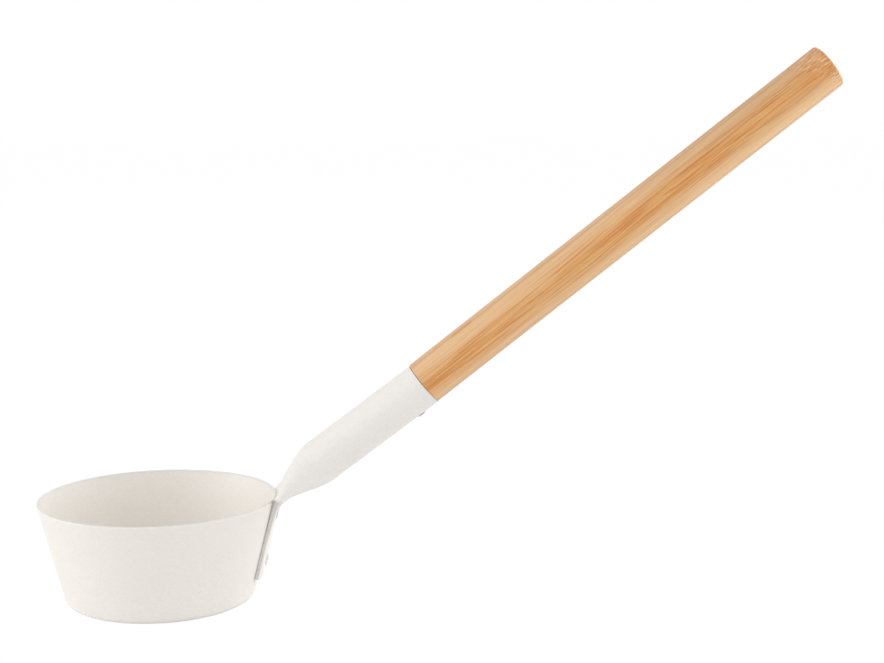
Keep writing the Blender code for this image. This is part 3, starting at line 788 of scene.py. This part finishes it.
wander = maths(tree, "MULTIPLY_ADD", along_rod, WANDER_RATE, WANDER_START)
half_number = maths(tree, "MULTIPLY", maths(tree, "FLOOR", layer_place), 0.5)
every_second = maths(tree, "MULTIPLY", maths(tree, "FRACT", half_number), 2.0)
to_other_face = maths(tree, "MULTIPLY_ADD", in_layer, -2.0, LAYER_THICKNESS)
from_hollow = maths(tree, "MULTIPLY_ADD", every_second, to_other_face, in_layer)
grown = maths(tree, "MULTIPLY_ADD", height, wander, from_hollow)
cloud = stretched_noise(across_size=3.0, along_size=45.0, detail=2.0, seed=3.1)
grown = maths(tree, "MULTIPLY_ADD", maths(tree, "SUBTRACT", cloud, 0.5), CLOUD_SHIFT, grown)
density = ranged(tree, grown, *DENSITY_EDGES)
wood = blend(tree, density, PALE, MIDDLE)
wood = blend(tree, maths(tree, "SUBTRACT", 1.0, every_second), wood, STRIP_TONE, "MULTIPLY")
upper_far = maths(tree, "MULTIPLY", ranged(tree, height, *UPPER_HEIGHTS),
                  ranged(tree, along_rod, *UPPER_ALONG))
wood = blend(tree, maths(tree, "MULTIPLY", upper_far, UPPER_BROWN), wood, MIDDLE)
wood = blend(tree, upper_far, wood, UPPER_TONE, "MULTIPLY")
lower_far = maths(tree, "MULTIPLY", ranged(tree, height, *LOWER_HEIGHTS),
                  ranged(tree, along_rod, *LOWER_ALONG, "LINEAR"))
wood = blend(tree, lower_far, wood, LOWER_TONE, "MULTIPLY")
patchy = stretched_noise(across_size=2.2, along_size=70.0, detail=1.0, seed=83.5)
wood = blend(tree, ranged(tree, patchy, *PATCH_EDGES), wood, PATCH_TONE, "MULTIPLY")
print("a strip turns from pale to dark between", *DENSITY_EDGES, "mm from its pale face")

# %% [markdown]
# Fibre bundles show as fine lines. Two noises drawn out along the rod give the dark ones in two sizes,
# stronger where the strip is dense, and a third gives the pale gloss of clean fibre between them.

# %% Fibres
PALE_FIBRE_EDGES = (0.54, 0.70)
PALE_FIBRE_SHARE = 0.35


def dark_fibres(wood, noise, edges, by_density, least):
    """Darken the wood where a noise passes its two edges, by density * by_density + least."""
    strength = maths(tree, "MULTIPLY_ADD", density, by_density, least)
    return blend(tree, maths(tree, "MULTIPLY", ranged(tree, noise, *edges), strength), wood, DARK)


fibre = stretched_noise(across_size=0.62, along_size=44.0, detail=2.0, seed=11.7)
fine = stretched_noise(across_size=0.34, along_size=26.0, detail=2.0, seed=23.3)
pale_fibre = stretched_noise(across_size=1.1, along_size=40.0, detail=2.0, seed=37.9)
wood = dark_fibres(wood, fibre, edges=(0.52, 0.64), by_density=0.44, least=0.16)
wood = dark_fibres(wood, fine, edges=(0.48, 0.60), by_density=0.36, least=0.15)
pale_share = maths(tree, "MULTIPLY", ranged(tree, pale_fibre, *PALE_FIBRE_EDGES), PALE_FIBRE_SHARE)
wood = blend(tree, pale_share, wood, PALE)
print("the bamboo has", len(tree.nodes), "nodes so far")

# %% [markdown]
# The strongest lines are the handle's own growth marks: bundles that the lathe cut open lengthwise. Each is
# a thin spindle between two places, so one node group draws a spindle, and a function takes the strongest
# of many.

# %% One growth line
LINE_FADE_SHARE = 0.3  # of a line's length, at each end

line_group, taken, given = start_group(
    "growth_line",
    [(name, "NodeSocketFloat", 0.0) for name in
     ("Along", "Height", "Start", "End", "Start height", "End height", "Width", "Strength")],
    [("Mask", "NodeSocketFloat")],
)
line = taken.outputs
line_height = ranged(line_group, line["Along"], line["Start"], line["End"], line["Start height"],
                     line["End height"], "LINEAR")
away = maths(line_group, "ABSOLUTE", maths(line_group, "SUBTRACT", line["Height"], line_height))
beside = ranged(line_group, away, 0.0, line["Width"], 1.0, 0.0)
to_end = maths(line_group, "MINIMUM", maths(line_group, "SUBTRACT", line["Along"], line["Start"]),
               maths(line_group, "SUBTRACT", line["End"], line["Along"]))
fade_length = maths(line_group, "MULTIPLY", maths(line_group, "SUBTRACT", line["End"], line["Start"]),
                    LINE_FADE_SHARE)
faded = ranged(line_group, to_end, 0.0, fade_length)
strong = maths(line_group, "MULTIPLY", maths(line_group, "MULTIPLY", beside, faded), line["Strength"])
line_group.links.new(strong, given.inputs["Mask"])


def growth_lines(lines, wavy_height):
    """The strongest of several spindles, each a mask that fades out from its middle line."""
    strongest = 0.0
    for start, end, start_height, end_height, width, strength in lines:
        mask = use_group(tree, line_group, {
            "Along": along_rod, "Height": wavy_height, "Start": start, "End": end,
            "Start height": start_height, "End height": end_height, "Width": width, "Strength": strength,
        })
        strongest = maths(tree, "MAXIMUM", strongest, mask)
    return strongest


# %% [markdown]
# A list places the lines, measured in millimetres on the front of the handle, where its pattern can be
# seen. They belong to the front strip alone. The lines waver a little, and where the finest fibres are
# strong they break up.

# %% The growth lines
LINE_WAVER = 0.7
FRONT_STRIP = (-3.0, -1.5)  # across the rod, where the front strip ends
BREAK_UP = (0.25, 0.65, 1.0, 0.72)  # two values of the fine noise, and what is left of a line there
DARK_LINES = [  # start, end, start height, end height, half width, strength
    (12, 88, 1.9, 2.5, 0.34, 0.95),
    (76, 118, 2.4, 3.6, 0.34, 0.80),
    (-10, 36, -0.3, 0.4, 0.34, 0.90),
    (-8, 44, -1.2, -0.5, 0.28, 0.85),
    (-10, 48, -3.0, -3.2, 0.34, 0.75),
    (36, 72, -3.2, -3.8, 0.32, 0.85),
    (20, 58, -5.6, -5.6, 0.34, 0.65),
    (40, 108, -1.5, -1.2, 0.27, 0.75),
    (65.5, 69.5, -1.2, -1.2, 0.34, 1.0),
    (71.5, 76.0, -1.2, -1.2, 0.34, 1.0),
    (83.0, 87.0, -1.2, -1.2, 0.30, 0.9),
    (89.0, 92.5, -1.2, -1.2, 0.30, 0.9),
    (62, 132, -4.8, -4.2, 0.34, 0.95),
    (112, 152, -4.3, -3.3, 0.32, 0.80),
    (60, 130, -6.2, -6.3, 0.48, 0.40),
    (78, 112, 4.2, 5.4, 0.36, 0.50),
    (98, 142, 0.0, 0.4, 0.36, 0.95),
    (98, 142, 0.8, 1.2, 0.36, 0.85),
    (118, 168, -3.1, -2.2, 0.34, 0.95),
    (128, 180, -3.0, -1.8, 0.36, 0.80),
    (120, 155, 2.2, 2.4, 0.27, 0.70),
    (122, 158, 4.3, 4.3, 0.27, 0.65),
    (149, 158, 0.0, -0.1, 0.36, 1.0),
    (150, 178, -0.5, -0.7, 0.36, 0.85),
    (156, 200, 3.1, 2.8, 0.30, 0.90),
    (150, 178, 1.9, 1.8, 0.30, 0.65),
    (150, 200, 5.6, 5.6, 0.36, 0.45),
    (172, 204, 4.7, 4.6, 0.30, 0.65),
    (172, 200, 0.8, 0.6, 0.30, 0.85),
    (172, 194, -1.6, -1.7, 0.32, 0.80),
    (170, 196, -3.1, -3.3, 0.36, 0.85),
    (172, 192, -2.4, -2.5, 0.28, 0.60),
    (188, 203, -0.75, -0.9, 0.36, 0.70),
    (192.0, 198.5, -0.85, -0.85, 0.44, 1.0),
    (193, 199, -5.6, -5.5, 0.32, 0.50),
    (194, 230, 3.6, 2.8, 0.34, 1.0),
    (196, 232, 0.2, -0.5, 0.30, 0.75),
    (224, 250, -0.5, -1.1, 0.34, 0.70),
    (198, 226, -3.3, -3.8, 0.34, 0.80),
    (204, 252, -4.0, -4.6, 0.34, 0.65),
    (219, 233, 5.2, 5.0, 0.30, 0.65),
    (219, 234, 4.2, 4.0, 0.30, 0.80),
    (226, 240, -2.7, -2.8, 0.29, 0.50),
]
waves = stretched_noise(across_size=5.0, along_size=16.0, detail=1.0, seed=51.1)
waves = maths(tree, "SUBTRACT", waves, 0.5)
wavy_height = maths(tree, "MULTIPLY_ADD", waves, LINE_WAVER, seen_height)
on_front = ranged(tree, across, *FRONT_STRIP, 1.0, 0.0)
dark_line = maths(tree, "MULTIPLY", growth_lines(DARK_LINES, wavy_height), on_front)
broken = ranged(tree, fine, *BREAK_UP)
wood = blend(tree, maths(tree, "MULTIPLY", dark_line, broken), wood, DARK)
print(len(DARK_LINES), "growth lines")

# %% [markdown]
# Near its end the handle runs through a node, where the bundles part and cross. There the long lines stop
# at a slanting border and short dashes take over, dark and pale.

# %% The node at the end
NODE_PLACE = 245.5
NODE_SLANT = 0.9
NODE_BORDER = (-3.0, 1.5)  # before and behind that place, over which the dashes set in
NODE_PALE = (0.83, 0.56, 0.32, 1.0)

from_node = maths(tree, "SUBTRACT", along_rod, NODE_PLACE)
in_node = ranged(tree, maths(tree, "MULTIPLY_ADD", seen_height, NODE_SLANT, from_node), *NODE_BORDER)


def dashes(wood, noise, edges, share, colour):
    """Mix a colour into the node's wood where a noise passes its two edges."""
    marks = maths(tree, "MULTIPLY", ranged(tree, noise, *edges), in_node)
    return blend(tree, maths(tree, "MULTIPLY", marks, share), wood, colour)


short = stretched_noise(across_size=0.90, along_size=4.5, detail=2.0, seed=71.9)
wood = dashes(wood, short, edges=(0.48, 0.64), share=0.70, colour=NODE_PALE)
short = stretched_noise(across_size=0.70, along_size=5.5, detail=2.0, seed=61.3)
wood = dashes(wood, short, edges=(0.46, 0.62), share=0.66, colour=DARK)
print("the node starts", NODE_PLACE, "mm from the shoulder")

# %% [markdown]
# The strips meet in thin brown glue lines. At one place near the tube a chip is missing from the upper
# line, and glue fills the gap: a slot with round ends.

# %% Glue
GLUE = (0.46, 0.24, 0.11, 1.0)
GLUE_EDGES = (0.08, 0.50)  # millimetres from the middle of a glue line
GLUE_SHARE = 0.5
GAP_COLOUR = (0.60, 0.30, 0.09, 1.0)
GAP_SHARE = 0.75
GAP_SOFTNESS = 0.15
GAP_START = 24.8
GAP_END = 37.9
GAP_TOP = 10.3
GAP_BOTTOM = 9.15

glue = ranged(tree, from_glue, *GLUE_EDGES, GLUE_SHARE, 0.0)
wood = blend(tree, glue, wood, GLUE)
gap_middle = ((GAP_START + GAP_END) / 2, (GAP_TOP + GAP_BOTTOM) / 2)
gap_radius = (GAP_TOP - GAP_BOTTOM) / 2
gap_along = maths(tree, "ABSOLUTE", maths(tree, "SUBTRACT", along_rod, gap_middle[0]))
past_straight = maths(tree, "MAXIMUM", maths(tree, "SUBTRACT", gap_along,
                      (GAP_END - GAP_START) / 2 - gap_radius), 0.0)
gap_height = maths(tree, "SUBTRACT", seen_height, gap_middle[1])
gap_distance = maths(tree, "SQRT", maths(tree, "ADD", maths(tree, "MULTIPLY", past_straight, past_straight),
                     maths(tree, "MULTIPLY", gap_height, gap_height)))
in_gap = ranged(tree, gap_distance, gap_radius - GAP_SOFTNESS, gap_radius + GAP_SOFTNESS, GAP_SHARE, 0.0)
wood = blend(tree, maths(tree, "MULTIPLY", in_gap, on_front), wood, GAP_COLOUR)
tree.links.new(wood, shader.inputs["Base Color"])
print("the filled gap is", round(GAP_END - GAP_START, 1), "mm long")

# %% [markdown]
# The oil leaves a satin gloss, a little duller over the fibre bundles. They also stand out as a relief,
# which is much too fine for geometry and so is a bump.

# %% Gloss and relief of the bamboo
GLOSS = (0.3, 0.7, 0.40, 0.52)  # two values of the fibre noise, and the roughness there
FINE_RELIEF = 0.4  # of the finest fibres, beside the larger ones

tree.links.new(ranged(tree, fibre, *GLOSS), shader.inputs["Roughness"])
relief = maths(tree, "ADD", fibre, maths(tree, "MULTIPLY", fine, FINE_RELIEF))
bump = add(tree, "ShaderNodeBump", {"Height": relief, "Strength": 0.3, "Distance": 0.00005})
tree.links.new(bump.outputs["Normal"], shader.inputs["Normal"])
wear(rod, bamboo)

# %% [markdown]
# The screw is zinc plated steel: a bright grey metal with a slight cloudiness in its gloss.

# %% Plated steel
DULL_ZINC = (0.72, 0.72, 0.71, 1.0)
BRIGHT_ZINC = (0.86, 0.86, 0.84, 1.0)
STEEL_ROUGHNESS = 0.42

steel, tree, shader = start_material("screw_steel", metallic=1.0)
spot = add(tree, "ShaderNodeTexCoord").outputs["Object"]
cloudy = use_group(tree, cloud_group, {"Vector": spot, "Size": 900.0, "Amount": 0.5})
steel_tint = blend(tree, ranged(tree, cloudy, 0.9, 1.1), DULL_ZINC, BRIGHT_ZINC)
tree.links.new(steel_tint, shader.inputs["Base Color"])
tree.links.new(maths(tree, "MULTIPLY", cloudy, STEEL_ROUGHNESS), shader.inputs["Roughness"])
wear(screw, steel)

# %% [markdown]
# The studio is a sheet of pale paper and soft lamps. To the camera and in reflections the paper is white,
# and it keeps a little of the ladle's shadow. Seen from below it is clear.

# %% Floor
FLOOR_REACH = 6.0
FLOOR_DROP = 0.0001
SHADOW_SHARE = 0.05
LIT_FLOOR = 0.66  # what the lamps and the world make of the bare paper
PAPER = (0.94, 0.94, 0.94, 1.0)
WHITE = (1.0, 1.0, 1.0, 1.0)


def seen_rays(tree):
    """1 for rays from the camera, straight or by way of a gloss or glass, and 0 for light on the object."""
    rays = add(tree, "ShaderNodeLightPath").outputs
    mirrored = maths(tree, "MAXIMUM", rays["Is Glossy Ray"], rays["Is Transmission Ray"])
    return maths(tree, "MAXIMUM", rays["Is Camera Ray"], mirrored)


floor_mesh = bpy.data.meshes.new("studio_floor")
square = ((-1, -1), (1, -1), (1, 1), (-1, 1))
floor_corners = [(x * FLOOR_REACH, y * FLOOR_REACH, -FLOOR_DROP) for x, y in square]
floor_mesh.from_pydata(floor_corners, [], [(0, 1, 2, 3)])
floor = bpy.data.objects.new("studio_floor", floor_mesh)
bpy.context.scene.collection.objects.link(floor)

paper, tree, shader = start_material("studio_paper", roughness=0.9)
shader.inputs["Base Color"].default_value = PAPER
full_white = (1 - SHADOW_SHARE * LIT_FLOOR) / (1 - SHADOW_SHARE)
white = add(tree, "ShaderNodeEmission", {"Color": WHITE, "Strength": full_white})
white_share = maths(tree, "MULTIPLY", seen_rays(tree), 1 - SHADOW_SHARE)
top_side = add(tree, "ShaderNodeMixShader", {0: white_share, 1: shader.outputs[0], 2: white.outputs[0]})
clear = add(tree, "ShaderNodeBsdfTransparent")
behind = add(tree, "ShaderNodeNewGeometry").outputs["Backfacing"]
both = add(tree, "ShaderNodeMixShader", {0: behind, 1: top_side.outputs[0], 2: clear.outputs[0]})
tree.links.new(both.outputs[0], tree.nodes["Material Output"].inputs["Surface"])
wear(floor, paper)

# %% [markdown]
# The world is the white room round the ladle. The camera and reflections see it at full strength, and as
# light on the object it is dimmer, so that the lamps can shape the piece.

# %% World
WORLD_LIGHT = 0.56

world = bpy.data.worlds.new("studio")
bpy.context.scene.world = world
world.use_nodes = True
tree = world.node_tree
background = tree.nodes["Background"]
brightness = maths(tree, "MULTIPLY_ADD", seen_rays(tree), 1 - WORLD_LIGHT, WORLD_LIGHT)
tree.links.new(brightness, background.inputs["Strength"])
background.inputs["Color"].default_value = WHITE
print("the world lights the ladle at", WORLD_LIGHT)

# %% [markdown]
# Five big lamps stand at the left, the left front, the right, the right back and high in front. Those at
# the sides light the cup's two sides more than its front, and the high one lights the handle's top. A
# lamp's strength is given as the brightness of its face.

# %% Lamps
LAMP_TARGET = Vector((0.05, 0.0, 0.08))
SIDE_LAMP = (1.2, 1.4)
TOP_LAMP = (1.4, 1.4)


def lamp(name, place, size, brightness):
    """A rectangle that faces the target. Its watts are brightness times area times pi."""
    light = bpy.data.lights.new(name, "AREA")
    light.shape = "RECTANGLE"
    light.size, light.size_y = size
    light.energy = brightness * size[0] * size[1] * math.pi
    made = bpy.data.objects.new(name, light)
    bpy.context.scene.collection.objects.link(made)
    made.location = place
    made.rotation_euler = (Vector(place) - LAMP_TARGET).to_track_quat("Z", "Y").to_euler()
    print(name, round(light.energy, 1), "watts")


lamp("left_softbox", (-1.8, 0.0, 0.7), SIDE_LAMP, brightness=2.26)
lamp("left_front_softbox", (-1.3, -1.3, 0.8), SIDE_LAMP, brightness=1.18)
lamp("right_softbox", (1.9, 0.0, 0.7), SIDE_LAMP, brightness=2.15)
lamp("right_back_softbox", (1.4, 1.3, 0.8), SIDE_LAMP, brightness=1.92)
lamp("top_front_softbox", (0.1, -1.4, 1.6), TOP_LAMP, brightness=0.87)

# %% [markdown]
# The camera stands in front of the ladle, about as high as the handle's end, and looks a little down through
# a long lens. Its place was solved from the rim's ellipse, the tube and the rod. The three angles turn it
# sideways, down and about its lens.

# %% Camera
CAMERA_PLACE = Vector((0.11212, -0.85394, 0.26396))
CAMERA_YAW = -0.0375
CAMERA_PITCH = 0.1507
CAMERA_ROLL = -0.0089
SENSOR_WIDTH = 36.0
FOCAL_LENGTH = 70.31
NEAREST = 0.01

flat_ahead = Vector((-math.sin(CAMERA_YAW), math.cos(CAMERA_YAW), 0.0))
ahead = flat_ahead * math.cos(CAMERA_PITCH) - Vector((0.0, 0.0, math.sin(CAMERA_PITCH)))
level = Vector((math.cos(CAMERA_YAW), math.sin(CAMERA_YAW), 0.0))
above = level.cross(ahead)
right = math.cos(CAMERA_ROLL) * level + math.sin(CAMERA_ROLL) * above
up = math.cos(CAMERA_ROLL) * above - math.sin(CAMERA_ROLL) * level
lens = bpy.data.cameras.new("studio_camera")
lens.sensor_width = SENSOR_WIDTH
lens.lens = FOCAL_LENGTH
lens.clip_start = NEAREST
camera = bpy.data.objects.new("studio_camera", lens)
bpy.context.scene.collection.objects.link(camera)
placed = Matrix((right, up, -ahead)).transposed().to_4x4()
placed.translation = CAMERA_PLACE
camera.matrix_world = placed
bpy.context.scene.camera = camera
bpy.context.scene.view_settings.view_transform = "Standard"
print("the camera is", round(CAMERA_PLACE.length, 2), "m from the cup's foot")
